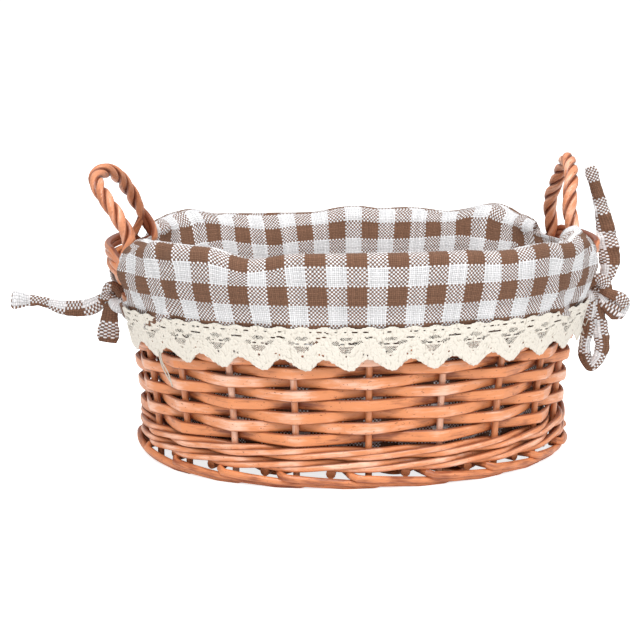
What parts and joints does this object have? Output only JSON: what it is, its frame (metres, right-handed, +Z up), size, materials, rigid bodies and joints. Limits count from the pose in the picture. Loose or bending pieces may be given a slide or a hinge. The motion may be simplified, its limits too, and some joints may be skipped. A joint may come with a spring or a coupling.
{
  "type": "storage basket",
  "caption": "Oval willow storage basket with a gingham liner folded over the rim, a lace edge, cloth ties and a roped handle at each end.",
  "frame": {"origin": "middle of the whole object's box in X and Y, at the floor that the foot border stands on. The ties stick out further on the left, so the oval's own middle lies 15.9 mm towards +X and 0.8 mm towards +Y of it.", "axes": "+X along the oval from the left handle to the right one, -Y the front seen in the picture, +Z up"},
  "size_m": [0.3728, 0.2282, 0.1768],
  "materials": {
    "willow": "peeled round willow, red-brown, half gloss",
    "split_willow": "split flat willow, orange-brown, half gloss",
    "handle_willow": "peeled round willow, orange-brown, half gloss",
    "gingham": "coarse plain-woven cloth in brown and cool white checks",
    "lace": "cream crocheted cotton"
  },
  "bodies": {
    "root": {"stake_01": "willow", "stake_02": "willow", "stake_03": "willow", "stake_04": "willow", "stake_05": "willow", "stake_06": "willow", "stake_07": "willow", "stake_08": "willow", "stake_09": "willow", "stake_10": "willow", "stake_11": "willow", "stake_12": "willow", "stake_13": "willow", "stake_14": "willow", "stake_15": "willow", "stake_16": "willow", "stake_17": "willow", "stake_18": "willow", "stake_19": "willow", "stake_20": "willow", "randing_row_01": "split_willow", "randing_row_02": "split_willow", "randing_row_03": "split_willow", "randing_row_04": "split_willow", "randing_row_05": "split_willow", "randing_row_06": "split_willow", "randing_row_07": "split_willow", "randing_row_08": "split_willow", "randing_row_09": "split_willow", "randing_row_10": "split_willow", "randing_row_11": "split_willow", "randing_row_12": "split_willow", "randing_row_13": "split_willow", "wale_rod_1": "willow", "wale_rod_2": "willow", "wale_rod_3": "willow", "foot_border": "willow", "base_cross_stick_1": "willow", "base_cross_stick_2": "willow", "base_cross_stick_3": "willow", "base_cross_stick_4": "willow", "base_cross_stick_5": "willow", "base_cross_stick_6": "willow", "base_long_stick_1": "willow", "base_long_stick_2": "willow", "base_long_stick_3": "willow", "base_long_stick_4": "willow", "base_weaver_1": "split_willow", "base_weaver_2": "split_willow", "handle_left_strand_1": "handle_willow", "handle_left_strand_2": "handle_willow", "handle_left_strand_3": "handle_willow", "handle_right_strand_1": "handle_willow", "handle_right_strand_2": "handle_willow", "handle_right_strand_3": "handle_willow", "liner": "gingham", "lace_front": "lace", "lace_back": "lace", "tie_left": "gingham", "tie_right": "gingham"}
  },
  "joints": []
}
